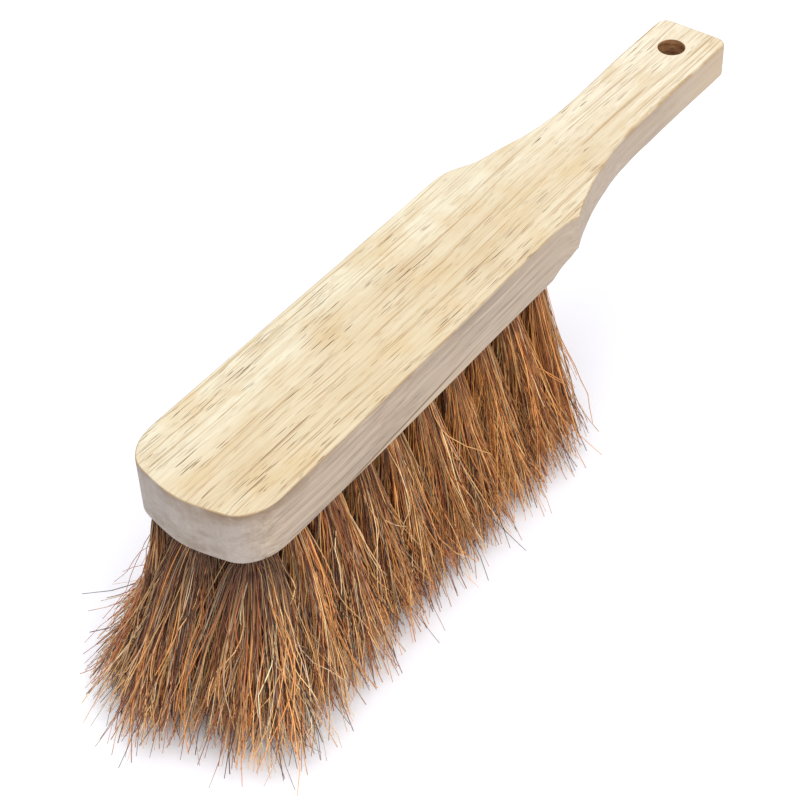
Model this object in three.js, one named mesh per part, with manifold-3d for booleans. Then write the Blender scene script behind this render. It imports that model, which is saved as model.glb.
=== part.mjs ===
// Wooden hand brush (bannister brush) with coir-type fibre tufts.
// Millimetres, +Z up, +X towards the handle end, tips of the fibres on Z = 0,
// origin at the middle of the bounding box's bottom face.
//
// Construction: a one-piece wooden stock (head and handle in one board) with blind
// tuft holes drilled in its underside. Each tuft is a bundle of fibre folded over a
// wire staple; the staple's two legs are driven into the wood past the hole's bottom.

import * as THREE from 'three';
import { mergeVertices } from 'three/addons/utils/BufferGeometryUtils.js';
import Module from 'manifold-3d';

// ---------------------------------------------------------------- dimensions
const HEAD_HALF_LEFT = 26.9;      // half widths of the head behind its rounded front
const HEAD_HALF_RIGHT = 27.3;
const STOCK_LENGTH = 308;         // front of the head to the end of the handle
const HEAD_THICK = 22;            // thickness of the head
const HANDLE_THICK = 14.6;        // thickness of the handle
const HANDLE_HALF_END = 15.0;     // half width of the handle at its end
const END_CORNER_R = 3.6;         // rounded corners of the handle's end
const HANG_HOLE_X = 291.8;        // hanging hole: distance from the head's front
const HANG_HOLE_Y = 1.1;          // hanging hole: drilled a little off the middle
const HANG_HOLE_R = 5.2;          // hanging hole: radius
const FREE_LENGTH = 66;           // fibre showing below the stock

// Sides of the board behind its rounded front, as [x from the head's front, half width].
// The two sides were shaped separately: the left shoulder starts earlier than the right one,
// and the right shoulder ends in a corner that stands out a little.
const LEFT_SIDE = [
  [20, HEAD_HALF_LEFT], [60, 27.1], [100, 27.2], [140, 27.4], [160, 27.6], [174.5, 27.8], [178, 26.9], [181, 25.7], [184, 24.2],
  [187, 22.6], [190, 21.4], [193, 20.7], [198, 19.7], [204, 18.3], [210, 16.8], [216, 15.6], [222, 14.85], [228, 14.25],
  [236, 13.95], [248, 14.1], [260, 14.5], [272, 14.9], [284, 15], [292, HANDLE_HALF_END],
];
const RIGHT_SIDE = [
  [20, HEAD_HALF_RIGHT], [40, 27.2], [60, 27], [90, 26.5], [110, 26.1], [130, 25.6], [150, 25.25], [170, 25], [175, 25],
  [178.5, 25.3], [181.6, 26.1], [184.5, 27], [188.6, 25.3], [192, 24], [195, 23], [198, 22], [201, 21.1], [204, 20.2],
  [207, 19.5], [210, 18.8], [216, 17.65], [222, 16.55], [228, 15.8], [234, 15.4], [242, 15.05], [254, 15], [260, 14.9],
  [272, 14.85], [284, 14.9], [292, HANDLE_HALF_END],
];
// Rise of the underside from the head's to the handle's, as [x, height above the head's underside].
const UNDERCUT = [
  [171.3, 0], [173.5, 0.95], [175.6, 1.9], [177.5, 2.75], [179.4, 3.65], [181, 4.5], [182.4, 5.6], [183.6, 6.7],
  [184.8, 7.25], [186.5, HEAD_THICK - HANDLE_THICK],
];

const OUTER_ROW_Y = 18.15;        // rows of tufts: two outer rows and one in the middle
const OUTER_COUNT = 10;
const OUTER_FIRST_X = 13.2;
const OUTER_LAST_X = 167.2;
const MIDDLE_COUNT = 9;
const MIDDLE_FIRST_X = 9.2;
const MIDDLE_LAST_X = 162;
const TUFT_HOLE_R = 5.2;          // drilled hole
const TUFT_HOLE_DEPTH = 12;
const GAP = 0.3;                  // clearance between pieces that touch

const OUTER_TIP_Y = 30.6;         // where the flared tips of each row end up
const OUTER_TIP_HALF = [9.8, 15.9];
const OUTER_TIP_FIRST_X = -6;
const OUTER_TIP_LAST_X = 176;
const MIDDLE_TIP_HALF = [11.4, 14.1];
const MIDDLE_TIP_FIRST_X = -20;
const MIDDLE_TIP_LAST_X = 171;
// The flare's width along the brush, as a share of its widest: rounded in front, narrower behind.
const FOOTPRINT = [
  [-31.4, 0.55], [-22, 0.71], [-12, 0.84], [0, 0.93], [20, 1], [70, 1], [110, 0.95], [150, 0.88], [170, 0.80], [190, 0.68],
];

const STAPLE_WIRE = 0.9;          // square wire
const STAPLE_HALF = 3.0;          // half of the distance over the legs
const STAPLE_CROWN_DEPTH = 9.2;   // the crown's lower face, measured up from the hole's mouth
const STAPLE_LEG_TOP = 16.4;      // the legs' ends, measured up from the hole's mouth

// ---------------------------------------------------------------- frame
const FRONT_TIP_X = MIDDLE_TIP_FIRST_X - MIDDLE_TIP_HALF[0];
const CENTRE_X = (STOCK_LENGTH + FRONT_TIP_X) / 2;
const UNDERSIDE_Z = FREE_LENGTH;

// ---------------------------------------------------------------- materials
const WOOD = { color: 0xead9b0, roughness: 0.62, metalness: 0 };
const FIBRE = { color: 0x96602f, roughness: 0.75, metalness: 0 };
const STEEL = { color: 0xb9bcc0, roughness: 0.35, metalness: 1 };

// ---------------------------------------------------------------- helpers
const wasm = await Module();
wasm.setup();

function solid(geometry) {
  const g = geometry.clone();
  g.deleteAttribute('normal');
  g.deleteAttribute('uv');
  const m = mergeVertices(g, 1e-4);
  return new wasm.Manifold(new wasm.Mesh({
    numProp: 3,
    vertProperties: new Float32Array(m.attributes.position.array),
    triVerts: new Uint32Array(m.index.array),
  }));
}

function geometryOf(body) {
  const mesh = body.getMesh();
  const g = new THREE.BufferGeometry();
  g.setAttribute('position', new THREE.BufferAttribute(new Float32Array(mesh.vertProperties), 3));
  g.setIndex(new THREE.BufferAttribute(new Uint32Array(mesh.triVerts), 1));
  g.computeVertexNormals();
  return g;
}

function piece(name, geometry, look) {
  const mesh = new THREE.Mesh(geometry, new THREE.MeshStandardMaterial(look));
  mesh.name = name;
  return mesh;
}

// ---------------------------------------------------------------- stock
// Outline of one side of the board seen from above (x from the head's front, y >= 0).
function sideOutline(side) {
  const front = [
    [0, 0], [0.3, 4.4], [1.05, 8.8], [2.0, 13.2], [3.1, 17.6], [4.0, 19.8],
    [5.6, 22.0], [8.2, 24.2], [11.2, 25.9], [15.0, 27.0],
  ].map(([x, y]) => [x, y * side[0][1] / 27.5]);
  const end = [];
  for (let i = 0; i <= 4; i++) {
    const a = (i / 4) * Math.PI / 2;
    end.push([
      STOCK_LENGTH - END_CORNER_R + END_CORNER_R * Math.sin(a),
      HANDLE_HALF_END - END_CORNER_R + END_CORNER_R * Math.cos(a),
    ]);
  }
  return [...front, ...side, ...end];
}

function boardOutline() {
  const lower = sideOutline(RIGHT_SIDE).map(([x, y]) => new THREE.Vector2(x, -y));
  const upper = sideOutline(LEFT_SIDE).slice(1).reverse().map(([x, y]) => new THREE.Vector2(x, y));
  return new THREE.Shape([...lower, ...upper]);
}

// Waste taken off below the handle, seen from the side: the rise from the head's underside
// to the handle's underside, and everything below the handle.
function undercutShape() {
  const pts = [new THREE.Vector2(UNDERCUT[0][0], -5), ...UNDERCUT.map(([x, z]) => new THREE.Vector2(x, z))];
  pts.push(new THREE.Vector2(STOCK_LENGTH + 10, HEAD_THICK - HANDLE_THICK));
  pts.push(new THREE.Vector2(STOCK_LENGTH + 10, -5));
  return new THREE.Shape(pts);
}

// ---------------------------------------------------------------- tuft places
// Each place: name suffix, hole centre, tip centre and tip half sizes.
function places() {
  const list = [];
  const row = (label, count, y, tipY, x0, x1, t0, t1, half) => {
    for (let i = 0; i < count; i++) {
      const u = i / (count - 1);
      list.push({
        label: `${label}_${String(i + 1).padStart(2, '0')}`,
        x: x0 + u * (x1 - x0), y,
        tipX: t0 + u * (t1 - t0), tipY, half,
      });
    }
  };
  row('left', OUTER_COUNT, OUTER_ROW_Y, OUTER_TIP_Y, OUTER_FIRST_X, OUTER_LAST_X,
    OUTER_TIP_FIRST_X, OUTER_TIP_LAST_X, OUTER_TIP_HALF);
  row('middle', MIDDLE_COUNT, 0, 0, MIDDLE_FIRST_X, MIDDLE_LAST_X,
    MIDDLE_TIP_FIRST_X, MIDDLE_TIP_LAST_X, MIDDLE_TIP_HALF);
  row('right', OUTER_COUNT, -OUTER_ROW_Y, -OUTER_TIP_Y, OUTER_FIRST_X, OUTER_LAST_X,
    OUTER_TIP_FIRST_X, OUTER_TIP_LAST_X, OUTER_TIP_HALF);
  return list;
}

// ---------------------------------------------------------------- staple
// A U of square wire, its crown across the tuft and its legs pointing up into the wood.
// grow widens it on every side, for the room it takes in the tuft and in the wood.
function stapleGeometry(grow) {
  const w = STAPLE_WIRE;
  const o = STAPLE_HALF + grow;
  const i = STAPLE_HALF - w - grow;
  const low = STAPLE_CROWN_DEPTH - grow;
  const inner = STAPLE_CROWN_DEPTH + w + grow;
  const top = STAPLE_LEG_TOP + grow;
  const u = new THREE.Shape([
    [-o, low], [o, low], [o, top], [i, top], [i, inner], [-i, inner], [-i, top], [-o, top],
  ].map(([a, b]) => new THREE.Vector2(a, b)));
  const g = new THREE.ExtrudeGeometry(u, { depth: w + 2 * grow, bevelEnabled: false });
  g.translate(0, 0, -w / 2 - grow);
  g.rotateX(Math.PI / 2);
  return g;
}

// ---------------------------------------------------------------- tuft
function footprintAt(x) {
  for (let i = 1; i < FOOTPRINT.length; i++) {
    const [xa, a] = FOOTPRINT[i - 1], [xb, b] = FOOTPRINT[i];
    if (x <= xb) return a + (b - a) * Math.max(0, (x - xa) / (xb - xa));
  }
  return FOOTPRINT[FOOTPRINT.length - 1][1];
}

// A bundle: round where it sits in its hole, fanning out to a rounded rectangle at the tips.
function tuftGeometry(p) {
  const sides = 12;
  const r = TUFT_HOLE_R - GAP;
  const levels = [
    { z: UNDERSIDE_Z + TUFT_HOLE_DEPTH - GAP, t: 0 },
    { z: UNDERSIDE_Z - 1.5, t: 0 },
    { z: UNDERSIDE_Z * 0.68, t: 0.30 },
    { z: UNDERSIDE_Z * 0.36, t: 0.63 },
    { z: 0, t: 1 },
  ];
  const verts = [];
  for (const { z, t } of levels) {
    const cx = p.x + t * (p.tipX - p.x);
    const cy = p.y + t * (p.tipY - p.y);
    const hx = r + t * (p.half[0] - r);
    const hy = r + t * (p.half[1] - r);
    const power = 2 / (2 + 2 * t);
    for (let k = 0; k < sides; k++) {
      const a = (k / sides) * 2 * Math.PI;
      const c = Math.cos(a), s = Math.sin(a);
      const x = cx + hx * Math.sign(c) * Math.pow(Math.abs(c), power);
      let y = cy + hy * Math.sign(s) * Math.pow(Math.abs(s), power);
      y *= 1 - t * (1 - footprintAt(x));
      verts.push(x, y, z);
    }
  }
  const index = [];
  const last = levels.length - 1;
  for (let l = 0; l < last; l++) {
    for (let k = 0; k < sides; k++) {
      const a = l * sides + k, b = l * sides + (k + 1) % sides;
      const c = a + sides, d = b + sides;
      index.push(a, c, b, b, c, d);
    }
  }
  for (let k = 1; k < sides - 1; k++) {
    index.push(0, k, k + 1);
    index.push(last * sides, last * sides + k + 1, last * sides + k);
  }
  const g = new THREE.BufferGeometry();
  g.setAttribute('position', new THREE.BufferAttribute(new Float32Array(verts), 3));
  g.setIndex(index);
  return g;
}

// ---------------------------------------------------------------- assembly
const brush = new THREE.Group();
brush.position.set(-CENTRE_X, 0, 0);

const board = new THREE.ExtrudeGeometry(boardOutline(), { depth: HEAD_THICK, bevelEnabled: false });
let stock = solid(board);
const undercut = new THREE.ExtrudeGeometry(undercutShape(), { depth: 80, bevelEnabled: false });
undercut.rotateX(Math.PI / 2);
undercut.translate(0, 40, 0);
stock = stock.subtract(solid(undercut));
const hang = new THREE.CylinderGeometry(HANG_HOLE_R, HANG_HOLE_R, HEAD_THICK * 3, 28);
hang.rotateX(Math.PI / 2);
hang.translate(HANG_HOLE_X, HANG_HOLE_Y, HEAD_THICK / 2);
stock = stock.subtract(solid(hang));

const list = places();
for (const p of list) {
  const hole = new THREE.CylinderGeometry(TUFT_HOLE_R, TUFT_HOLE_R, TUFT_HOLE_DEPTH + 5, 12);
  hole.rotateX(Math.PI / 2);
  hole.translate(p.x, p.y, (TUFT_HOLE_DEPTH - 5) / 2);
  stock = stock.subtract(solid(hole));
  const slots = stapleGeometry(GAP);
  slots.translate(p.x, p.y, 0);
  stock = stock.subtract(solid(slots));
}
const stockMesh = piece('wooden_stock', geometryOf(stock), WOOD);
stockMesh.position.set(0, 0, UNDERSIDE_Z);
brush.add(stockMesh);

for (const p of list) {
  const room = stapleGeometry(GAP);
  room.translate(p.x, p.y, UNDERSIDE_Z);
  const tuft = solid(tuftGeometry(p)).subtract(solid(room));
  brush.add(piece(`tuft_${p.label}`, geometryOf(tuft), FIBRE));
  const staple = stapleGeometry(0);
  staple.translate(p.x, p.y, UNDERSIDE_Z);
  brush.add(piece(`staple_${p.label}`, mergeVertices((() => {
    const g = staple.clone();
    g.deleteAttribute('normal');
    g.deleteAttribute('uv');
    return g;
  })(), 1e-4), STEEL));
}

export default brush;
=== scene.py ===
"""Looks of the wooden hand brush: the board with its grain, and every fibre of the tufts."""

import math

import bmesh
import bpy
import numpy as np
from mathutils import Matrix, Vector


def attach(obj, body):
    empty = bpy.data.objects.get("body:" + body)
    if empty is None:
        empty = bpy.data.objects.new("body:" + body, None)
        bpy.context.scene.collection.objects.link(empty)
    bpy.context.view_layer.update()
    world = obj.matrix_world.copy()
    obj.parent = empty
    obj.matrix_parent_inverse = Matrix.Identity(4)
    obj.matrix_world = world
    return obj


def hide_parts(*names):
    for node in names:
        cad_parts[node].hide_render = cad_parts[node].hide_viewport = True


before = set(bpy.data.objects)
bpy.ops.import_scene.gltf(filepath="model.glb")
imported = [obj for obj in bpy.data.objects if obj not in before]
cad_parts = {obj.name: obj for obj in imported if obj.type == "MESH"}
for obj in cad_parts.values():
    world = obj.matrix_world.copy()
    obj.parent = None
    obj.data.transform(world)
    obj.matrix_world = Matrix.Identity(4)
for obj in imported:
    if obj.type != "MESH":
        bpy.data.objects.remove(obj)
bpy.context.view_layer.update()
scene = bpy.context.scene

MM = 0.001
CENTRE_X = 138.3  # the frame's origin, measured from the head's front (mm)
UNDER = 66.0  # underside of the head (mm above the floor)
TOP = 88.0  # top face of the board


def P(x, y, z):
    """A point in millimetres from the head's front to the frame's metres."""
    return ((x - CENTRE_X) * MM, y * MM, z * MM)


# --------------------------------------------------------------------------- camera
W = 55.0
YAW, PITCH, ROLL = math.radians(38.78), math.radians(44.02), math.radians(2.6)
AIM_X, AIM_Y, DIST = 1.3413, -0.5644, 11.6345
fwd = Vector((math.cos(YAW) * math.cos(PITCH), math.sin(YAW) * math.cos(PITCH), -math.sin(PITCH)))
right = Vector((math.sin(YAW), -math.cos(YAW), 0.0))
down = fwd.cross(right)
r2 = math.cos(ROLL) * right + math.sin(ROLL) * down
d2 = -math.sin(ROLL) * right + math.cos(ROLL) * down
eye = Vector((AIM_X, AIM_Y, 0.0)) - fwd * DIST
cam_data = bpy.data.cameras.new("camera")
cam_data.lens = 90.0
cam_data.sensor_width = 36.0
cam_data.sensor_fit = "HORIZONTAL"
cam_data.clip_start = 0.01
cam_data.clip_end = 20.0
cam = bpy.data.objects.new("camera", cam_data)
scene.collection.objects.link(cam)
rot = Matrix((r2, -d2, -fwd)).transposed().to_4x4()
cam.matrix_world = Matrix.Translation(Vector(P(eye.x * W, eye.y * W, eye.z * W + TOP))) @ rot
scene.camera = cam


# --------------------------------------------------------------------------- node helpers
def new_material(name):
    m = bpy.data.materials.new(name)
    m.use_nodes = True
    nt = m.node_tree
    for n in list(nt.nodes):
        nt.nodes.remove(n)
    out = nt.nodes.new("ShaderNodeOutputMaterial")
    bsdf = nt.nodes.new("ShaderNodeBsdfPrincipled")
    nt.links.new(bsdf.outputs["BSDF"], out.inputs["Surface"])
    return m, nt, bsdf


def node(nt, kind, **values):
    n = nt.nodes.new(kind)
    for k, v in values.items():
        setattr(n, k, v)
    return n


def link(nt, a, b):
    nt.links.new(a, b)


def stretched(nt, source, scale, offset=(0.0, 0.0, 0.0)):
    """Coordinates scaled along each axis, so that a noise becomes a streak along the grain."""
    m = node(nt, "ShaderNodeMapping")
    m.inputs["Scale"].default_value = scale
    m.inputs["Location"].default_value = offset
    link(nt, source, m.inputs["Vector"])
    return m.outputs["Vector"]


def noise(nt, vector, scale=1.0, detail=2.0, rough=0.5, distortion=0.0):
    n = node(nt, "ShaderNodeTexNoise")
    n.inputs["Scale"].default_value = scale
    n.inputs["Detail"].default_value = detail
    n.inputs["Roughness"].default_value = rough
    n.inputs["Distortion"].default_value = distortion
    link(nt, vector, n.inputs["Vector"])
    return n.outputs["Fac"]


def ramp(nt, fac, stops, mode="LINEAR"):
    r = node(nt, "ShaderNodeValToRGB")
    r.color_ramp.interpolation = mode
    while len(r.color_ramp.elements) > 1:
        r.color_ramp.elements.remove(r.color_ramp.elements[-1])
    r.color_ramp.elements[0].position = stops[0][0]
    r.color_ramp.elements[0].color = stops[0][1]
    for pos, col in stops[1:]:
        e = r.color_ramp.elements.new(pos)
        e.color = col
    link(nt, fac, r.inputs["Fac"])
    return r.outputs["Color"]


def grey(v):
    return (v, v, v, 1.0)


def mix(nt, fac, a, b, blend="MIX"):
    """Colour mix; each of fac, a and b is a socket or a constant."""
    m = node(nt, "ShaderNodeMix", data_type="RGBA", blend_type=blend)
    for sock, v in ((m.inputs[0], fac), (m.inputs[6], a), (m.inputs[7], b)):
        if hasattr(v, "is_output"):
            link(nt, v, sock)
        else:
            sock.default_value = v
    return m.outputs[2]


def maths(nt, op, a, b=0.0, clamp=False):
    m = node(nt, "ShaderNodeMath", operation=op, use_clamp=clamp)
    for sock, v in ((m.inputs[0], a), (m.inputs[1], b)):
        if hasattr(v, "is_output"):
            link(nt, v, sock)
        else:
            sock.default_value = v
    return m.outputs[0]


# --------------------------------------------------------------------------- wood
def wood_material():
    m, nt, bsdf = new_material("pale_wood")
    co = node(nt, "ShaderNodeTexCoord").outputs["Object"]
    sep = node(nt, "ShaderNodeSeparateXYZ")
    link(nt, co, sep.inputs["Vector"])
    geo = node(nt, "ShaderNodeNewGeometry")
    nsep = node(nt, "ShaderNodeSeparateXYZ")
    link(nt, geo.outputs["True Normal"], nsep.inputs["Vector"])
    # the grain wanders a little from side to side along the board
    wander = node(nt, "ShaderNodeTexNoise")
    wander.inputs["Scale"].default_value = 1.0
    wander.inputs["Detail"].default_value = 2.0
    link(nt, stretched(nt, co, (7.0, 22.0, 22.0)), wander.inputs["Vector"])
    shift = node(nt, "ShaderNodeVectorMath", operation="MULTIPLY_ADD")
    link(nt, wander.outputs["Color"], shift.inputs[0])
    shift.inputs[1].default_value = (0.0, 0.008, 0.008)
    link(nt, co, shift.inputs[2])
    g = shift.outputs["Vector"]

    broad = noise(nt, stretched(nt, g, (2.5, 85.0, 85.0)), 1.0, 3.0, 0.55)
    streak = noise(nt, stretched(nt, g, (8.0, 420.0, 420.0), (3.1, 0.7, 0.2)), 1.0, 4.0, 0.62)
    fine = noise(nt, stretched(nt, g, (26.0, 1050.0, 1050.0), (0.3, 4.0, 1.0)), 1.0, 3.0, 0.6)
    patch = noise(nt, stretched(nt, co, (24.0, 46.0, 46.0), (7.0, 1.0, 2.0)), 1.0, 4.0, 0.6)

    base = ramp(nt, broad, [
        (0.26, WOOD_TAN),
        (0.42, WOOD_MID),
        (0.64, WOOD_PALE),
    ])
    # paler towards the left side of the board
    left_pale = node(nt, "ShaderNodeMapRange", interpolation_type="SMOOTHSTEP")
    left_pale.inputs["From Min"].default_value = 0.0075
    left_pale.inputs["From Max"].default_value = 0.0185
    left_pale.inputs["To Max"].default_value = 0.85
    link(nt, maths(nt, "ADD", sep.outputs["Y"], maths(nt, "MULTIPLY", wander.outputs["Fac"], 0.010)), left_pale.inputs["Value"])
    base = mix(nt, left_pale.outputs["Result"], base, WOOD_LEFT_PALE)
    grip = node(nt, "ShaderNodeMapRange")
    grip.inputs["From Min"].default_value = 0.030
    grip.inputs["From Max"].default_value = 0.110
    grip.inputs["To Max"].default_value = 0.80
    link(nt, sep.outputs["X"], grip.inputs["Value"])
    base = mix(nt, grip.outputs["Result"], base, WOOD_GRIP)
    tan = ramp(nt, streak, [(0.50, grey(0.0)), (0.70, grey(1.0))])
    base = mix(nt, maths(nt, "MULTIPLY", tan, 0.36), base, WOOD_STREAK)
    base = mix(nt, maths(nt, "MULTIPLY", ramp(nt, patch, [(0.48, grey(0.0)), (0.66, grey(1.0))]), 0.55),
               base, WOOD_TAN)
    base = mix(nt, maths(nt, "MULTIPLY", ramp(nt, fine, [(0.38, grey(1.0)), (0.58, grey(0.0))]), 0.20),
               base, WOOD_STREAK)

    cloud = noise(nt, stretched(nt, co, (52.0, 78.0, 78.0), (1.0, 5.0, 0.0)), 1.0, 3.0, 0.55)
    base = mix(nt, maths(nt, "MULTIPLY", ramp(nt, cloud, [(0.50, grey(0.0)), (0.68, grey(1.0))]), 0.50), base, WOOD_CLOUD)

    drawn = noise(nt, stretched(nt, g, (5.0, 520.0, 520.0), (1.3, 2.2, 0.4)), 1.0, 3.0, 0.6)
    drawn = ramp(nt, drawn, [(0.50, grey(0.0)), (0.66, grey(1.0))])
    base = mix(nt, maths(nt, "MULTIPLY", maths(nt, "MULTIPLY", drawn, grip.outputs["Result"]), 0.64), base, WOOD_TAN)

    # open pores: short dark dashes along the grain, more of them on the front half
    dash = noise(nt, stretched(nt, g, (74.0, 2000.0, 2000.0), (1.7, 2.0, 5.0)), 1.0, 1.0, 0.5)
    dash2 = noise(nt, stretched(nt, g, (42.0, 1650.0, 1650.0), (8.7, 3.0, 9.0)), 1.0, 1.0, 0.5)
    front = node(nt, "ShaderNodeMapRange")
    front.inputs["From Min"].default_value = -0.14
    front.inputs["From Max"].default_value = 0.03
    front.inputs["To Min"].default_value = 0.044
    front.inputs["To Max"].default_value = 0.010
    link(nt, sep.outputs["X"], front.inputs["Value"])
    cluster = noise(nt, stretched(nt, co, (12.0, 55.0, 55.0), (2.6, 4.3, 0.0)), 1.0, 2.0, 0.5)
    lift = maths(nt, "ADD", maths(nt, "MULTIPLY", cluster, 0.20), front.outputs["Result"])
    p1 = ramp(nt, maths(nt, "ADD", dash, lift), [(0.822, grey(0.0)), (0.845, grey(1.0))])
    p2 = ramp(nt, maths(nt, "ADD", dash2, lift), [(0.835, grey(0.0)), (0.858, grey(1.0))])
    pores = maths(nt, "MAXIMUM", p1, p2)
    # hair-fine light brown lines between them
    hair = noise(nt, stretched(nt, g, (13.0, 1100.0, 1100.0), (5.7, 7.0, 3.0)), 1.0, 2.0, 0.5)
    lines = ramp(nt, hair, [(0.585, grey(0.0)), (0.655, grey(1.0))])
    base = mix(nt, maths(nt, "MULTIPLY", lines, 0.60), base, WOOD_LINE)
    # and a fine short fleck all over
    fleck = noise(nt, stretched(nt, g, (115.0, 1350.0, 1350.0), (2.7, 6.0, 1.0)), 1.0, 1.0, 0.5)
    base = mix(nt, maths(nt, "MULTIPLY", ramp(nt, fleck, [(0.60, grey(0.0)), (0.68, grey(1.0))]), 0.28), base, WOOD_LINE)
    depth = noise(nt, stretched(nt, co, (45.0, 160.0, 160.0), (3.0, 3.0, 3.0)), 1.0, 2.0, 0.5)
    deep = ramp(nt, depth, [(0.36, grey(0.45)), (0.62, grey(1.0))])
    base = mix(nt, maths(nt, "MULTIPLY", pores, deep), base, WOOD_PORE)

    # sides: planed, greyer than the sanded top, and darker still by painted shade
    side = ramp(nt, nsep.outputs["Z"], [(0.25, grey(1.0)), (0.80, grey(0.0))])
    base = mix(nt, maths(nt, "MULTIPLY", side, 0.74), base, WOOD_SIDE_PLANED_AND_SHADED)
    combed = noise(nt, stretched(nt, g, (7.0, 420.0, 420.0), (9.0, 1.0, 4.0)), 1.0, 4.0, 0.62)
    shaded = mix(nt, 1.0, base, ramp(nt, combed, [(0.34, grey(0.80)), (0.66, grey(1.13))]), "MULTIPLY")
    shaded = mix(nt, 1.0, shaded, ramp(nt, fine, [(0.34, grey(0.80)), (0.50, grey(1.03))]), "MULTIPLY")
    calm = node(nt, "ShaderNodeMapRange")
    calm.inputs["From Min"].default_value = 0.020
    calm.inputs["From Max"].default_value = 0.040
    calm.inputs["To Min"].default_value = 1.0
    calm.inputs["To Max"].default_value = 0.35
    link(nt, sep.outputs["X"], calm.inputs["Value"])
    base = mix(nt, maths(nt, "MULTIPLY", side, calm.outputs["Result"]), base, shaded)
    warm = node(nt, "ShaderNodeMapRange")
    warm.inputs["From Min"].default_value = 0.120
    warm.inputs["From Max"].default_value = 0.165
    warm.inputs["To Max"].default_value = 0.50
    link(nt, sep.outputs["X"], warm.inputs["Value"])
    base = mix(nt, maths(nt, "MULTIPLY", side, warm.outputs["Result"]), base, WOOD_SIDE_WARM)
    # one growth line that leaves the lower edge of the right side at a slant, paler wood below it
    rise = maths(nt, "ADD", maths(nt, "MULTIPLY", sep.outputs["X"], 0.0606), 0.07173)
    rise = maths(nt, "ADD", rise, maths(nt, "MULTIPLY", wander.outputs["Fac"], 0.0009))
    above = maths(nt, "SUBTRACT", sep.outputs["Z"], rise)
    begin = node(nt, "ShaderNodeMapRange")
    begin.inputs["From Min"].default_value = -0.092
    begin.inputs["From Max"].default_value = -0.082
    link(nt, sep.outputs["X"], begin.inputs["Value"])
    stop = node(nt, "ShaderNodeMapRange")
    stop.inputs["From Min"].default_value = -0.006
    stop.inputs["From Max"].default_value = -0.034
    link(nt, sep.outputs["X"], stop.inputs["Value"])
    facing = node(nt, "ShaderNodeMapRange")
    facing.inputs["From Min"].default_value = -0.6
    facing.inputs["From Max"].default_value = -0.9
    link(nt, nsep.outputs["Y"], facing.inputs["Value"])
    where = maths(nt, "MULTIPLY", maths(nt, "MULTIPLY", begin.outputs["Result"], stop.outputs["Result"]), facing.outputs["Result"])
    under = node(nt, "ShaderNodeMapRange")
    under.inputs["From Min"].default_value = 0.0003
    under.inputs["From Max"].default_value = -0.0003
    link(nt, above, under.inputs["Value"])
    base = mix(nt, maths(nt, "MULTIPLY", maths(nt, "MULTIPLY", where, under.outputs["Result"]), 0.75), base, WOOD_SIDE_PALE)
    thin = node(nt, "ShaderNodeMapRange")
    thin.inputs["From Min"].default_value = 0.00058
    thin.inputs["From Max"].default_value = 0.00022
    link(nt, maths(nt, "ABSOLUTE", above), thin.inputs["Value"])
    base = mix(nt, maths(nt, "MULTIPLY", maths(nt, "MULTIPLY", where, thin.outputs["Result"]), 0.80), base, WOOD_LINE_DARK)

    # cut across the grain at the front: soft mottling in bands, browner under the top edge
    across = maths(nt, "ABSOLUTE", nsep.outputs["X"])
    end = ramp(nt, across, [(0.30, grey(0.0)), (0.80, grey(1.0))])
    band = noise(nt, stretched(nt, co, (80.0, 75.0, 150.0), (2.0, 0.0, 3.0)), 1.0, 5.0, 0.66)
    speck = noise(nt, stretched(nt, co, (300.0, 800.0, 1100.0)), 1.0, 3.0, 0.6)
    end_col = ramp(nt, band, [(0.34, WOOD_END_DARK), (0.50, WOOD_END), (0.66, WOOD_END_PALE)])
    end_col = mix(nt, maths(nt, "MULTIPLY", ramp(nt, speck, [(0.35, grey(1.0)), (0.55, grey(0.0))]), 0.20),
                  end_col, WOOD_END_DARK)
    sawn = noise(nt, stretched(nt, co, (700.0, 700.0, 40.0), (5.0, 1.0, 0.0)), 1.0, 3.0, 0.6)
    end_col = mix(nt, 1.0, end_col, ramp(nt, sawn, [(0.36, grey(0.945)), (0.62, grey(1.025))]), "MULTIPLY")
    base = mix(nt, maths(nt, "MULTIPLY", end, 0.85), base, end_col)
    rim = node(nt, "ShaderNodeMapRange")
    rim.inputs["From Min"].default_value = 0.0790
    rim.inputs["From Max"].default_value = 0.0880
    link(nt, sep.outputs["Z"], rim.inputs["Value"])
    smudge = noise(nt, stretched(nt, co, (70.0, 70.0, 120.0), (4.0, 2.0, 0.0)), 1.0, 3.0, 0.6)
    brown = maths(nt, "MULTIPLY", maths(nt, "MULTIPLY", rim.outputs["Result"], side),
                  ramp(nt, smudge, [(0.30, grey(0.0)), (0.54, grey(1.0))]))
    ahead = node(nt, "ShaderNodeMapRange")
    ahead.inputs["From Min"].default_value = -0.135
    ahead.inputs["From Max"].default_value = -0.060
    ahead.inputs["To Min"].default_value = 0.92
    ahead.inputs["To Max"].default_value = 0.10
    link(nt, sep.outputs["X"], ahead.inputs["Value"])
    held = node(nt, "ShaderNodeMapRange")
    held.inputs["From Min"].default_value = 0.004
    held.inputs["From Max"].default_value = -0.016
    held.inputs["To Min"].default_value = 0.50
    link(nt, sep.outputs["Y"], held.inputs["Value"])
    brown = maths(nt, "MULTIPLY", brown, held.outputs["Result"])
    base = mix(nt, maths(nt, "MULTIPLY", brown, ahead.outputs["Result"]), base, WOOD_SMUDGE)

    # handled edges: rubbed brown
    wear = node(nt, "ShaderNodeAttribute", attribute_name="wear", attribute_type="GEOMETRY").outputs["Fac"]
    rub = noise(nt, stretched(nt, co, (90.0, 90.0, 90.0)), 1.0, 3.0, 0.6)
    worn = maths(nt, "MULTIPLY", wear, ramp(nt, rub, [(0.34, grey(0.15)), (0.62, grey(0.80))]))
    base = mix(nt, worn, base, WOOD_WORN)

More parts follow.
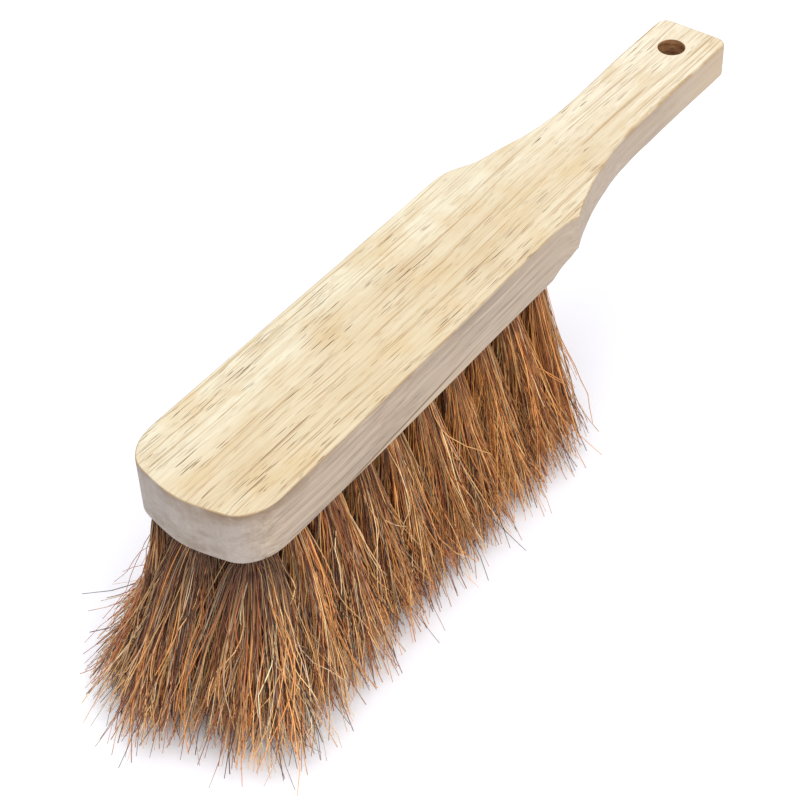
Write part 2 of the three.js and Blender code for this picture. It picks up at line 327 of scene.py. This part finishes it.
    # the drilled hanging hole: scorched and dusty inside
    dx = maths(nt, "SUBTRACT", sep.outputs["X"], (HOLE_X - CENTRE_X) * MM)
    dy = maths(nt, "SUBTRACT", sep.outputs["Y"], HOLE_Y * MM)
    dist = maths(nt, "SQRT", maths(nt, "ADD", maths(nt, "MULTIPLY", dx, dx), maths(nt, "MULTIPLY", dy, dy)))
    inside = node(nt, "ShaderNodeMapRange")
    inside.inputs["From Min"].default_value = 0.00552
    inside.inputs["From Max"].default_value = 0.00530
    link(nt, dist, inside.inputs["Value"])
    drill = noise(nt, stretched(nt, co, (200.0, 200.0, 900.0)), 1.0, 3.0, 0.6)
    burnt = ramp(nt, drill, [(0.35, (0.15, 0.062, 0.022, 1)), (0.65, (0.40, 0.205, 0.085, 1))])
    base = mix(nt, inside.outputs["Result"], base, burnt)
    link(nt, base, bsdf.inputs["Base Color"])

    rough = node(nt, "ShaderNodeMapRange")
    rough.inputs["To Min"].default_value = 0.52
    rough.inputs["To Max"].default_value = 0.74
    link(nt, streak, rough.inputs["Value"])
    link(nt, rough.outputs["Result"], bsdf.inputs["Roughness"])
    bsdf.inputs["Specular IOR Level"].default_value = 0.30

    height = maths(nt, "SUBTRACT", maths(nt, "MULTIPLY", fine, 0.35), maths(nt, "MULTIPLY", pores, 1.0))
    bump = node(nt, "ShaderNodeBump")
    bump.inputs["Strength"].default_value = 0.35
    bump.inputs["Distance"].default_value = 0.0004
    link(nt, height, bump.inputs["Height"])
    link(nt, bump.outputs["Normal"], bsdf.inputs["Normal"])
    return m


WOOD_LEFT_PALE = (0.735, 0.675, 0.510, 1)
WOOD_PALE = (0.685, 0.585, 0.410, 1)
WOOD_MID = (0.640, 0.525, 0.345, 1)
WOOD_TAN = (0.575, 0.440, 0.262, 1)
WOOD_CLOUD = (0.610, 0.445, 0.235, 1)
WOOD_GRIP = (0.785, 0.710, 0.555, 1)
WOOD_STREAK = (0.485, 0.340, 0.175, 1)
WOOD_LINE = (0.385, 0.230, 0.098, 1)
WOOD_LINE_DARK = (0.140, 0.075, 0.035, 1)
WOOD_PORE = (0.140, 0.066, 0.026, 1)
WOOD_SIDE_PALE = (0.480, 0.385, 0.275, 1)
WOOD_SIDE_WARM = (0.545, 0.400, 0.235, 1)
# planed side wood, with painted shade in its colour
WOOD_SIDE_PLANED_AND_SHADED = (0.345, 0.268, 0.220, 1)
WOOD_END = (0.355, 0.305, 0.268, 1)
WOOD_END_PALE = (0.410, 0.360, 0.322, 1)
WOOD_END_DARK = (0.265, 0.215, 0.172, 1)
WOOD_SMUDGE = (0.195, 0.125, 0.068, 1)
WOOD_WORN = (0.350, 0.220, 0.100, 1)


# --------------------------------------------------------------------------- board
HEAD_THICK = 22.0
HANDLE_THICK = 14.6
CUT0, CUT1 = 171.3, 186.5
LENGTH = 308.0
HOLE_X, HOLE_Y, HOLE_R = 291.8, 1.1, 5.2
TUFT_R, TUFT_DEPTH = 5.2, 12.0

FRONT = [  # one side of the rounded front (mm from the head's front, half width)
    (0.0, 0.0), (0.3, 4.4), (1.05, 8.8), (2.0, 13.2), (3.1, 17.6), (4.0, 19.8), (5.6, 22.0), (8.2, 24.2),
    (11.2, 25.9), (15.0, 27.0), (20.0, 27.5),
]
LEFT_SIDE = [  # the sides behind it; the right shoulder ends in a corner that stands out a little
    (20.0, 26.9), (60.0, 27.1), (100.0, 27.2), (140.0, 27.4), (160.0, 27.6), (170.0, 27.7), (175.0, 27.4), (178.0, 26.8), (181.0, 25.7),
    (184.0, 24.2), (187.0, 22.6), (190.0, 21.4), (193.0, 20.7), (198.0, 19.7), (204.0, 18.3), (210.0, 16.8),
    (216.0, 15.6), (222.0, 14.85), (228.0, 14.25), (236.0, 13.95), (248.0, 14.1), (260.0, 14.5), (272.0, 14.9),
    (284.0, 15.0), (292.0, 15.0),
]
RIGHT_SIDE = [
    (20.0, 27.3), (40.0, 27.2), (60.0, 27.0), (90.0, 26.5), (110.0, 26.1), (130.0, 25.6), (150.0, 25.25), (170.0, 25.0),
    (175.0, 25.0), (178.5, 25.3), (181.6, 26.1), (184.5, 27.0), (188.6, 25.3), (192.0, 24.0), (195.0, 23.0),
    (198.0, 22.0), (201.0, 21.1), (204.0, 20.2), (207.0, 19.5), (210.0, 18.8), (216.0, 17.65), (222.0, 16.55),
    (228.0, 15.8), (234.0, 15.4), (242.0, 15.05), (254.0, 15.0), (260.0, 14.9), (272.0, 14.85), (284.0, 14.9),
    (292.0, 15.0),
]
LEFT_CORNER, RIGHT_CORNER = 20.0, 184.5
RISE = [  # the underside's rise from the head to the handle
    (171.3, 0.0), (173.5, 0.95), (175.6, 1.9), (177.5, 2.75), (179.4, 3.65), (181.0, 4.5), (182.4, 5.6), (183.6, 6.7),
    (184.8, 7.25), (186.5, 7.4),
]
END_R, END_HALF = 4.4, 15.0


def places():
    """Name, hole centre, tip centre and tip half sizes of every tuft, in millimetres."""
    out = []

    def row(label, count, y, tip_y, x0, x1, lean, half):
        for i in range(count):
            u = i / (count - 1)
            x = x0 + u * (x1 - x0)
            swept = x + lean * math.exp(-4.0 * u) - 11.0 * u ** 0.6 * (1.0 - u) ** 0.5 - 2.5 * u ** 3
            out.append((f"{label}_{i + 1:02d}", x, y, swept, tip_y, half))

    row("left", 10, 18.15, 27.5, 13.2, 167.2, -26.0, (9.0, 10.5))
    row("middle", 9, 0.0, 0.0, 9.2, 162.0, -30.5, (10.0, 12.0))
    row("right", 10, -18.15, -27.5, 13.2, 167.2, -24.0, (9.0, 10.5))
    return out


def along(table, corner, xs):
    """Half width at each of xs: smooth through the table's points, but for a corner at one of them."""
    res = np.empty(len(xs))
    cut = [k for k, (x, _) in enumerate(table) if x == corner][0]
    parts = [(table[cut:], xs >= corner)]
    if cut:
        parts.append((table[:cut + 1], xs < corner))
    for part, inside in parts:
        x = np.array([q[0] for q in part])
        y = np.array([q[1] for q in part])
        slope = np.diff(y) / np.diff(x)
        m = np.empty(len(x))
        m[0], m[-1] = slope[0], slope[-1]
        m[1:-1] = (slope[:-1] * np.diff(x)[1:] + slope[1:] * np.diff(x)[:-1]) / (np.diff(x)[1:] + np.diff(x)[:-1])
        k = np.clip(np.searchsorted(x, xs[inside], side="right") - 1, 0, len(x) - 2)
        h = x[k + 1] - x[k]
        u = (xs[inside] - x[k]) / h
        res[inside] = ((2 * u ** 3 - 3 * u ** 2 + 1) * y[k] + (u ** 3 - 2 * u ** 2 + u) * h * m[k]
                       + (3 * u ** 2 - 2 * u ** 3) * y[k + 1] + (u ** 3 - u ** 2) * h * m[k + 1])
    return res


def side_points():
    """The two sides of the board at the same stations, from the front's middle to the end's middle."""
    front = np.array(rounded([np.array((FRONT[1][0], -FRONT[1][1]))] + [np.array(p) for p in FRONT] + [np.array((26.0, 27.5))]))
    xs = np.concatenate([np.arange(20.0, 164.0, 2.0), np.arange(164.0, 174.0, 1.0), [174.5], np.arange(175.5, 184.0, 0.8),
                         [184.5], np.arange(185.2, 240.0, 1.2), np.arange(240.0, 304.0, 2.0)])
    ends = []
    for a in np.linspace(0, math.pi / 2, 9):
        ends.append((LENGTH - END_R + END_R * math.sin(a), END_HALF - END_R + END_R * math.cos(a)))
    for y in np.linspace(END_HALF - END_R, 0.0, 9)[1:]:
        ends.append((LENGTH, y))
    ends = np.array(ends)
    out = []
    for table, corner in ((LEFT_SIDE, LEFT_CORNER), (RIGHT_SIDE, RIGHT_CORNER)):
        y = np.where(xs > 292.0, END_HALF, along(table, corner, np.minimum(xs, 292.0)))
        head = front * (1.0, table[0][1] / 27.5)
        out.append(np.vstack([head, np.stack([xs, y], 1), ends]))
    return out


def rounded(pts):
    """Points along a curve through all but the first and last of pts; the last one is left out."""
    res = []
    for k in range(1, len(pts) - 2):
        p0, p1, p2, p3 = pts[k - 1], pts[k], pts[k + 1], pts[k + 2]
        t0 = 0.0
        t1 = t0 + np.linalg.norm(p1 - p0) ** 0.5
        t2 = t1 + np.linalg.norm(p2 - p1) ** 0.5
        t3 = t2 + np.linalg.norm(p3 - p2) ** 0.5
        n = max(2, int(np.linalg.norm(p2 - p1) / 1.2))
        for t in np.linspace(t1, t2, n, endpoint=False):
            a1 = (t1 - t) / (t1 - t0) * p0 + (t - t0) / (t1 - t0) * p1
            a2 = (t2 - t) / (t2 - t1) * p1 + (t - t1) / (t2 - t1) * p2
            a3 = (t3 - t) / (t3 - t2) * p2 + (t - t2) / (t3 - t2) * p3
            b1 = (t2 - t) / (t2 - t0) * a1 + (t - t0) / (t2 - t0) * a2
            b2 = (t3 - t) / (t3 - t1) * a2 + (t - t1) / (t3 - t1) * a3
            res.append((t2 - t) / (t2 - t1) * b1 + (t - t1) / (t2 - t1) * b2)
    return res


def under_z(x):
    """Height of the underside: the head's, then the rise to the handle's."""
    return UNDER + np.interp(x, [q[0] for q in RISE], [q[1] for q in RISE])


def build_board():
    left, right = side_points()
    loop = np.vstack([left, (right[1:-1] * (1, -1))[::-1]])  # front middle, left side, end middle, right side
    n = len(loop)
    tang = np.roll(loop, -1, 0) - np.roll(loop, 1, 0)
    tang /= np.linalg.norm(tang, axis=1)[:, None]
    normal = np.stack([-tang[:, 1], tang[:, 0]], 1)
    if np.mean(np.sum(normal * (loop - loop.mean(0)), 1)) < 0:
        normal = -normal
    bm = bmesh.new()
    ease_top = np.interp(loop[:, 0], (186.0, 240.0), (0.55, 1.1))
    ease_low = np.interp(loop[:, 0], (186.0, 240.0), (0.6, 1.1))

    def ring(offset, z):
        q = loop - normal * np.reshape(offset, (-1, 1))
        zz = z if np.ndim(z) else np.full(n, z)
        return [bm.verts.new(P(q[i, 0], q[i, 1], zz[i])) for i in range(n)]

    low = under_z(loop[:, 0])
    rings = []
    steps = 5
    worn = bm.verts.layers.float.new("wear")
    for k in range(steps):
        a = k / (steps - 1) * math.pi / 2
        rings.append(ring(ease_low * (1 - math.sin(a)), low + ease_low * (1 - math.cos(a))))
    for u in (0.06, 0.25, 0.5, 0.75, 0.94):
        rings.append(ring(0.0, low + ease_low + u * (TOP - ease_top - low - ease_low)))
    for k in range(steps):
        a = k / (steps - 1) * math.pi / 2
        rings.append(ring(ease_top * (1 - math.cos(a)), TOP - ease_top * (1 - math.sin(a))))
    for r in rings[-4:-1]:
        for v in r:
            v[worn] = 1.0
    for a, b in zip(rings[:-1], rings[1:]):
        for i in range(n):
            j = (i + 1) % n
            bm.faces.new((a[i], b[i], b[j], a[j]))

    def circle(cx, cy, r, z, count):
        return [bm.verts.new(P(cx + r * math.cos(2 * math.pi * k / count), cy + r * math.sin(2 * math.pi * k / count), z))
                for k in range(count)]

    def strip(a, b):
        m = len(a)
        for i in range(m):
            j = (i + 1) % m
            bm.faces.new((a[i], b[i], b[j], a[j]))

    def edges_of(vs, closed=True):
        es = []
        m = len(vs)
        for i in range(m if closed else m - 1):
            a, b = vs[i], vs[(i + 1) % m]
            e = bm.edges.get((a, b)) or bm.edges.new((a, b))
            es.append(e)
        return es

    # hanging hole, its rims eased
    hz = TOP - HANDLE_THICK
    cnt = 64
    hole = []
    for k in range(5):
        a = k / 4 * math.pi / 2
        hole.append(circle(HOLE_X, HOLE_Y, HOLE_R + 0.5 * (1 - math.sin(a)), hz + 0.5 * (1 - math.cos(a)), cnt))
    for k in range(5):
        a = k / 4 * math.pi / 2
        hole.append(circle(HOLE_X, HOLE_Y, HOLE_R + 0.5 * (1 - math.cos(a)), TOP - 0.5 * (1 - math.sin(a)), cnt))
    for a, b in zip(hole[:-1], hole[1:]):
        strip(a, b)

    # top face
    bmesh.ops.triangle_fill(bm, use_beauty=True, use_dissolve=False, edges=edges_of(rings[-1]) + edges_of(hole[-1]))

    # underside: the flat of the head with its tuft holes, the rise, and the handle's flat
    bottom = rings[0]
    xs = loop[:, 0]
    mid = n // 2

    def pair(i):
        return (n - i) % n  # the mirror of loop point i on the other side

    i0 = int(np.argmin(np.abs(xs[:mid] - CUT0 - 3.2)))  # just behind the last tuft holes
    i1 = int(np.argmin(np.abs(xs[:mid] - CUT1)))
    head = [bottom[i] for i in range(0, i0 + 1)] + [bottom[i] for i in range(pair(i0), n)]
    holes = []
    for _, x, y, _, _, _ in places():
        mouth = circle(x, y, TUFT_R + 0.25, UNDER, 32)
        lip = circle(x, y, TUFT_R, UNDER + 0.25, 32)
        floor = circle(x, y, TUFT_R, UNDER + TUFT_DEPTH, 32)
        strip(mouth, lip)
        strip(lip, floor)
        bm.faces.new(floor)
        holes.append(mouth)
    flat = edges_of(head)
    for h in holes:
        flat += edges_of(h)
    bmesh.ops.triangle_fill(bm, use_beauty=True, use_dissolve=False, edges=flat)
    for i in range(i0, i1):
        bm.faces.new((bottom[i], bottom[i + 1], bottom[pair(i + 1)], bottom[pair(i)]))
    grip = [bottom[i] for i in range(i1, pair(i1) + 1)]
    bmesh.ops.triangle_fill(bm, use_beauty=True, use_dissolve=False, edges=edges_of(grip) + edges_of(hole[0]))

    bmesh.ops.recalc_face_normals(bm, faces=bm.faces[:])
    me = bpy.data.meshes.new("stock_board")
    bm.to_mesh(me)
    bm.free()
    me.polygons.foreach_set("use_smooth", np.ones(len(me.polygons), bool))
    me.set_sharp_from_angle(angle=math.radians(25))
    ob = bpy.data.objects.new("stock_board", me)
    scene.collection.objects.link(ob)
    wn = ob.modifiers.new("weighted", "WEIGHTED_NORMAL")
    wn.keep_sharp = True
    return ob


board = build_board()
board.data.materials.append(wood_material())
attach(board, "root")
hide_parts("wooden_stock")


# --------------------------------------------------------------------------- fibres
def fibre_material():
    m, nt, bsdf = new_material("coir_fibre")
    tint = node(nt, "ShaderNodeAttribute", attribute_name="tint", attribute_type="GEOMETRY")
    co = node(nt, "ShaderNodeTexCoord").outputs["Object"]
    mott = noise(nt, stretched(nt, co, (260.0, 260.0, 120.0)), 1.0, 3.0, 0.6)
    shade = ramp(nt, mott, [(0.30, grey(0.72)), (0.70, grey(1.15))])
    col = mix(nt, 1.0, tint.outputs["Color"], shade, "MULTIPLY")
    link(nt, col, bsdf.inputs["Base Color"])
    rough = node(nt, "ShaderNodeMapRange")
    rough.inputs["To Min"].default_value = 0.24
    rough.inputs["To Max"].default_value = 0.44
    link(nt, mott, rough.inputs["Value"])
    link(nt, rough.outputs["Result"], bsdf.inputs["Roughness"])
    bsdf.inputs["Specular IOR Level"].default_value = 0.34
    return m


PALETTE = np.array([  # linear colours, and how often each is met at the front and at the back
    (0.680, 0.380, 0.135, 0.33, 0.26),  # golden tan
    (0.600, 0.252, 0.062, 0.14, 0.33),  # orange brown
    (0.345, 0.110, 0.036, 0.20, 0.23),  # red brown
    (0.078, 0.026, 0.012, 0.17, 0.10),  # dark brown
    (0.400, 0.285, 0.170, 0.09, 0.04),  # grey brown
    (0.790, 0.570, 0.300, 0.10, 0.05),  # straw
])
# painted shade at the fibres' roots, where the board and the other fibres shade them
ROOT_SHADE = np.array((0.102, 0.042, 0.025))

# how far the flare reaches to the left and to the right along the brush, as a share of its nominal reach
FOOT_X = np.array((-40.0, -30.0, -28.0, -25.0, -20.0, -17.0, -12.0, -7.0, 0.0, 10.0, 20.0, 36.0, 70.0, 110.0, 153.0, 170.0, 177.0, 189.0, 205.0))
FOOT_LEFT = np.array((12.0, 18.0, 21.0, 24.5, 27.0, 28.0, 29.0, 29.5, 30.0, 31.0, 32.0, 34.0, 37.0, 38.5, 38.0, 36.0, 33.0, 24.0, 16.0)) / 41.0
FOOT_RIGHT = np.array((9.0, 14.0, 19.0, 28.0, 39.0, 44.0, 46.5, 47.5, 48.5, 50.0, 50.0, 47.0, 44.0, 46.0, 44.0, 41.0, 35.0, 24.0, 16.0)) / 41.0

FIBRES = 920
STATIONS = np.array((0.0, 0.057, 0.10, 0.15, 0.21, 0.28, 0.36, 0.45, 0.54, 0.63, 0.72, 0.81, 0.905, 1.0))
RINGS = len(STATIONS)
SIDES = 4


def build_tuft(index, label, x, y, tip_x, tip_y, half, mat):
    rng = np.random.default_rng(4100 + index)
    n = FIBRES
    first, last = x < 20.0, x > 160.0
    # where each fibre stands in the bundle
    rad = np.sqrt(rng.random(n)) * 0.97
    ang = rng.random(n) * 2 * np.pi
    a, b = rad * np.cos(ang), rad * np.sin(ang)
    neck = 4.8 if first else 4.15
    root = np.stack([x + a * neck, y + b * neck, np.full(n, UNDER + 4.0)], 1)
    # where it ends: the bundle fans out, and neighbours mingle
    q = np.maximum(np.abs(a), np.abs(b)) + 1e-6
    sq = np.minimum(np.hypot(a, b) / q, 1.22)
    tx = tip_x + a * sq * half[0] + rng.normal(0, 3.4 if last else 4.4, n)
    ty = tip_y + b * sq * half[1] * (1.3 if first else 1.0) + rng.normal(0, 4.4, n)
    ty = ty * np.where(ty > 0, np.interp(tx, FOOT_X, FOOT_LEFT), np.interp(tx, FOOT_X, FOOT_RIGHT))
    ty = np.sign(ty) * np.where(np.abs(ty) > 47.0, 47.0 + (np.abs(ty) - 47.0) * 0.5, np.abs(ty))
    stray = rng.random(n) < (0.010 if last else 0.035)
    tx = np.where(stray, tx + np.clip(rng.normal(0, 5.5, n), -10.0, 10.0), tx)
    ty = np.where(stray, ty + rng.normal(0, 5.0, n), ty)
    lean = (1.05 if y > 1.0 else 0.80) if first else np.where(a > 0.0, 0.52, 0.95) if last else 1.72
    bow = np.clip(rng.normal(lean, 0.10, n), 0.45, 2.0)
    inner = (b * np.sign(y) < -0.1) if abs(y) > 1.0 else (np.abs(b) > 0.3)  # faces the next bundle of the front
    usual = np.where(inner, 0.46, 1.95 if y > 1.0 else 0.60) if first else np.full(n, 1.95 if y > 1.0 else 1.10)
    bow_y = np.clip(rng.normal(usual, 0.10, n), 0.36, 2.3)
    full = 0.3 + np.abs(rng.normal(0, 2.2, n)) + 0.0022 * np.hypot(tx - x, ty - y) ** 2
    kind = rng.random(n)
    tz = np.where(kind < 0.50, full + rng.random(n) * 15.0, full)
    tz = np.where(kind < 0.22, tz + rng.random(n) * 20.0, tz)
    kept = (UNDER - tz) / (UNDER - full)  # a short fibre ends on the path of a long one
    tx = root[:, 0] + (tx - root[:, 0]) * kept ** bow
    ty = root[:, 1] + (ty - root[:, 1]) * kept ** bow_y
    tip = np.stack([tx, ty, tz], 1)

    t = STATIONS
    # the first stretch is inside the hole and straight down
    lateral = np.clip((t - t[1]) / (1.0 - t[1]), 0.0, 1.0)
    lat = lateral[None, :] ** bow[:, None]
    lat_y = lateral[None, :] ** bow_y[:, None]
    pos = np.empty((n, RINGS, 3))
    pos[:, :, 0] = root[:, 0:1] + (tip[:, 0:1] - root[:, 0:1]) * lat
    pos[:, :, 1] = root[:, 1:2] + (tip[:, 1:2] - root[:, 1:2]) * lat_y
    pos[:, :, 2] = root[:, 2:3] + (tip[:, 2:3] - root[:, 2:3]) * t[None, :]
    # the bundles at the left front draw in below their holes before they fan out
    draw_in = (5.8 if first else 4.2 if x < 60.0 else 0.0) if y > 1.0 else 0.0
    pos[:, :, 1] -= draw_in * np.sin(np.pi * lateral ** 0.9)[None, :]
    # slow bends, small kinks and a hooked end
    for axis in (0, 1):
        amp = rng.normal(0, 1.5 if last else 2.4, n)
        freq = rng.uniform(0.45, 1.5, n)
        ph = rng.uniform(0, 2 * np.pi, n)
        wave = np.sin(2 * np.pi * freq[:, None] * t + ph[:, None]) - np.sin(ph)[:, None]
        pos[:, :, axis] += amp[:, None] * wave * lateral[None, :] ** (0.8 if first else 1.3)
        amp2 = rng.normal(0, 0.56 if x < 60.0 else 0.42, n)
        f2 = rng.uniform(2.0, 4.5, n)
        ph2 = rng.uniform(0, 2 * np.pi, n)
        pos[:, :, axis] += amp2[:, None] * np.sin(2 * np.pi * f2[:, None] * t + ph2[:, None]) * lateral[None, :]
        hook = np.clip(rng.normal(0, 2.4 if last else 4.5 if x < 60.0 else 3.8, n) * np.where(rng.random(n) < (0.01 if x > 140.0 else 0.06), 2.6, 1.0), -12.0, 12.0)
        pos[:, :, axis] += hook[:, None] * lateral[None, :] ** 3
    pos[:, :, 0] = np.clip(pos[:, :, 0], -48.0, 205.0)
    pos[:, :, 1] = np.clip(pos[:, :, 1], -58.5, 58.5)

    r0 = np.clip(rng.normal(0.172 if x < 40.0 else 0.164, 0.042, n), 0.10, 0.28)
    radius = r0[:, None] * (1.0 - 0.30 * t[None, :] ** 3)

    d = np.gradient(pos, axis=1)
    d /= np.linalg.norm(d, axis=2)[:, :, None]
    ref = np.tile(np.array((1.0, 0.0, 0.0)), (n, 1))
    spin = rng.uniform(0, 2 * np.pi, n)
    ref = np.stack([np.cos(spin), np.sin(spin), np.zeros(n)], 1)
    u = np.cross(d, ref[:, None, :])
    u /= np.linalg.norm(u, axis=2)[:, :, None]
    v = np.cross(d, u)
    ring = np.empty((n, RINGS, SIDES, 3))
    for k in range(SIDES):
        c, s = math.cos(2 * math.pi * k / SIDES), math.sin(2 * math.pi * k / SIDES)
        ring[:, :, k, :] = pos + radius[:, :, None] * (c * u + s * v)
    ring[..., 0] -= CENTRE_X
    verts = (ring * MM).reshape(-1, 3)
    verts[:, 2] = np.maximum(verts[:, 2], 0.00005)

    # faces: quads along each fibre and a cap on each end
    i, s, k = np.meshgrid(np.arange(n), np.arange(RINGS - 1), np.arange(SIDES), indexing="ij")
    k2 = (k + 1) % SIDES
    base = i * RINGS * SIDES

    def vid(seg, side):
        return base + seg * SIDES + side

    quads = np.stack([vid(s, k), vid(s, k2), vid(s + 1, k2), vid(s + 1, k)], -1).reshape(-1, 4)
    f0 = np.arange(n)[:, None] * RINGS * SIDES
    cap0 = f0 + np.arange(SIDES)[None, ::-1]
    cap1 = f0 + (RINGS - 1) * SIDES + np.arange(SIDES)[None, :]
    faces = np.vstack([quads, cap0, cap1])
    nf = len(faces)
    me = bpy.data.meshes.new(f"fibres_{label}")
    me.vertices.add(len(verts))
    me.vertices.foreach_set("co", verts.astype(np.float32).ravel())
    me.loops.add(nf * 4)
    me.loops.foreach_set("vertex_index", faces.astype(np.int32).ravel())
    me.polygons.add(nf)
    me.polygons.foreach_set("loop_start", np.arange(0, nf * 4, 4, dtype=np.int32))
    me.update(calc_edges=True)
    me.polygons.foreach_set("use_smooth", np.ones(nf, bool))

    # each fibre has its own strip of the map
    uv = me.uv_layers.new(name="OFBake")
    w = 1.0 / n
    u0 = (i + 0.10 + 0.80 * k / SIDES) * w
    u1 = (i + 0.10 + 0.80 * (k + 1) / SIDES) * w
    v0 = 0.02 + 0.96 * s / (RINGS - 1)
    v1 = 0.02 + 0.96 * (s + 1) / (RINGS - 1)
    side_uv = np.stack([np.stack([u0, v0], -1), np.stack([u1, v0], -1), np.stack([u1, v1], -1), np.stack([u0, v1], -1)],
                       -2).reshape(-1, 4, 2)
    ii = np.arange(n)
    square = np.array(((0.2, 0.0), (0.8, 0.0), (0.8, 1.0), (0.2, 1.0)))
    c0 = np.stack([(ii[:, None] + square[None, :, 0]) * w, np.tile(0.002 + 0.014 * square[:, 1], (n, 1))], -1)
    c1 = np.stack([(ii[:, None] + square[None, :, 0]) * w, np.tile(0.984 + 0.014 * square[:, 1], (n, 1))], -1)
    uv.data.foreach_set("uv", np.vstack([side_uv, c0, c1]).astype(np.float32).ravel())

    # colour of each fibre: dull and dark at the root by painted shade, its own bright tone towards the tip
    back = np.clip((x - 10.0) / 90.0, 0.0, 1.0)
    share = PALETTE[:, 3] * (1.0 - back) + PALETTE[:, 4] * back
    pick = rng.choice(len(PALETTE), n, p=share / share.sum())
    col = PALETTE[pick, :3] * rng.uniform(0.42, 1.50, n)[:, None] * rng.uniform(0.93, 1.07)
    col = col * (np.array((1.17, 1.17, 1.33)) * (1.0 - back) + np.array((1.03, 0.97, 0.96)) * back)
    hidden = 0.05 if first or (last and abs(y) < 1.0) else 0.16 if abs(y) < 1.0 else -0.14  # painted shade, dimmer where the light doesn't reach; the lit right row gets less of it
    blend = np.clip((t[None, :] - hidden - rng.uniform(0.04, 0.20, n)[:, None]) / rng.uniform(0.2, 0.5, n)[:, None], 0, 1)
    low = 0.16 - 0.8 * hidden
    blend = low + (1.0 - low) * blend
    less_shaded = rng.random(n) < (0.0 if hidden > 0.1 else 0.34)  # some fibres get less of the painted root shade and are bright all the way up
    blend = np.where(less_shaded[:, None], np.maximum(blend, 0.62), blend)
    shade = ROOT_SHADE * (1.0 - 3.5 * hidden) * (1 - blend[:, :, None]) + col[:, None, :] * blend[:, :, None]
    if abs(y) < 1.0 and 40.0 < x < 150.0:  # painted shade on the middle row, which stands in the shade of the outer rows, so that the gaps at the roots read dark
        shade = shade * np.interp(t, (0.0, 0.45, 0.90, 1.0), (0.22, 0.22, 0.60, 0.80))[None, :, None]
    tint = np.ones((n, RINGS, SIDES, 4))
    tint[..., :3] = np.clip(shade[:, :, None, :], 0, 1)
    at = me.color_attributes.new("tint", "FLOAT_COLOR", "POINT")
    at.data.foreach_set("color", tint.astype(np.float32).ravel())
    me.materials.append(mat)
    me.validate()
    ob = bpy.data.objects.new(f"fibres_{label}", me)
    scene.collection.objects.link(ob)
    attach(ob, "root")
    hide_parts(f"tuft_{label}")
    return ob


fibre = fibre_material()
for number, (label, x, y, tip_x, tip_y, half) in enumerate(places()):
    build_tuft(number, label, x, y, tip_x, tip_y, half, fibre)


# --------------------------------------------------------------------------- staples
def wire_material():
    m, nt, bsdf = new_material("drawn_wire")
    co = node(nt, "ShaderNodeTexCoord").outputs["Object"]
    draw = noise(nt, stretched(nt, co, (1500.0, 1500.0, 300.0)), 1.0, 3.0, 0.6)
    col = ramp(nt, draw, [(0.35, (0.42, 0.42, 0.43, 1)), (0.65, (0.66, 0.66, 0.67, 1))])
    link(nt, col, bsdf.inputs["Base Color"])
    bsdf.inputs["Metallic"].default_value = 1.0
    rough = node(nt, "ShaderNodeMapRange")
    rough.inputs["To Min"].default_value = 0.25
    rough.inputs["To Max"].default_value = 0.45
    link(nt, draw, rough.inputs["Value"])
    link(nt, rough.outputs["Result"], bsdf.inputs["Roughness"])
    return m


wire = wire_material()
for name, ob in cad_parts.items():
    if name.startswith("staple_"):
        ob.data.materials.clear()
        ob.data.materials.append(wire)


# --------------------------------------------------------------------------- stage
def stage_material():
    m, nt, bsdf = new_material("pale_floor")
    co = node(nt, "ShaderNodeTexCoord").outputs["Object"]
    n = noise(nt, stretched(nt, co, (3.0, 3.0, 3.0)), 1.0, 2.0, 0.5)
    col = ramp(nt, n, [(0.3, (0.938, 0.932, 0.962, 1)), (0.7, (0.956, 0.950, 0.980, 1))])
    link(nt, col, bsdf.inputs["Base Color"])
    bsdf.inputs["Roughness"].default_value = 0.9
    bsdf.inputs["Specular IOR Level"].default_value = 0.1
    return m


fl = bpy.data.meshes.new("floor")
R = 6.0
fl.from_pydata([(-R, -R, 0), (R, -R, 0), (R, R, 0), (-R, R, 0)], [], [(0, 1, 2, 3)])
floor = bpy.data.objects.new("floor", fl)
scene.collection.objects.link(floor)
fl.materials.append(stage_material())

world = bpy.data.worlds.new("studio")
scene.world = world
world.use_nodes = True
bg = world.node_tree.nodes["Background"]
bg.inputs["Color"].default_value = (0.92, 0.955, 1.02, 1)
bg.inputs["Strength"].default_value = 0.80


def area(name, place, aim, size, power, colour=(1, 1, 1)):
    d = bpy.data.lights.new(name, "AREA")
    d.shape = "SQUARE"
    d.size = size
    d.energy = power
    d.color = colour
    o = bpy.data.objects.new(name, d)
    scene.collection.objects.link(o)
    o.location = place
    o.rotation_euler = (Vector(aim) - Vector(place)).to_track_quat("-Z", "Y").to_euler()
    return o


area("overhead", (0.10, 0.10, 1.6), (0.0, 0.0, 0.05), 2.0, 18.0, (1.0, 0.985, 0.95))
area("fill_right", (-0.75, -1.25, 0.75), (0.0, 0.0, 0.05), 1.0, 11.0, (1.0, 0.985, 0.96))

scene.view_settings.view_transform = "Standard"
scene.view_settings.look = "None"
scene.view_settings.exposure = 0.0
scene.view_settings.gamma = 1.0
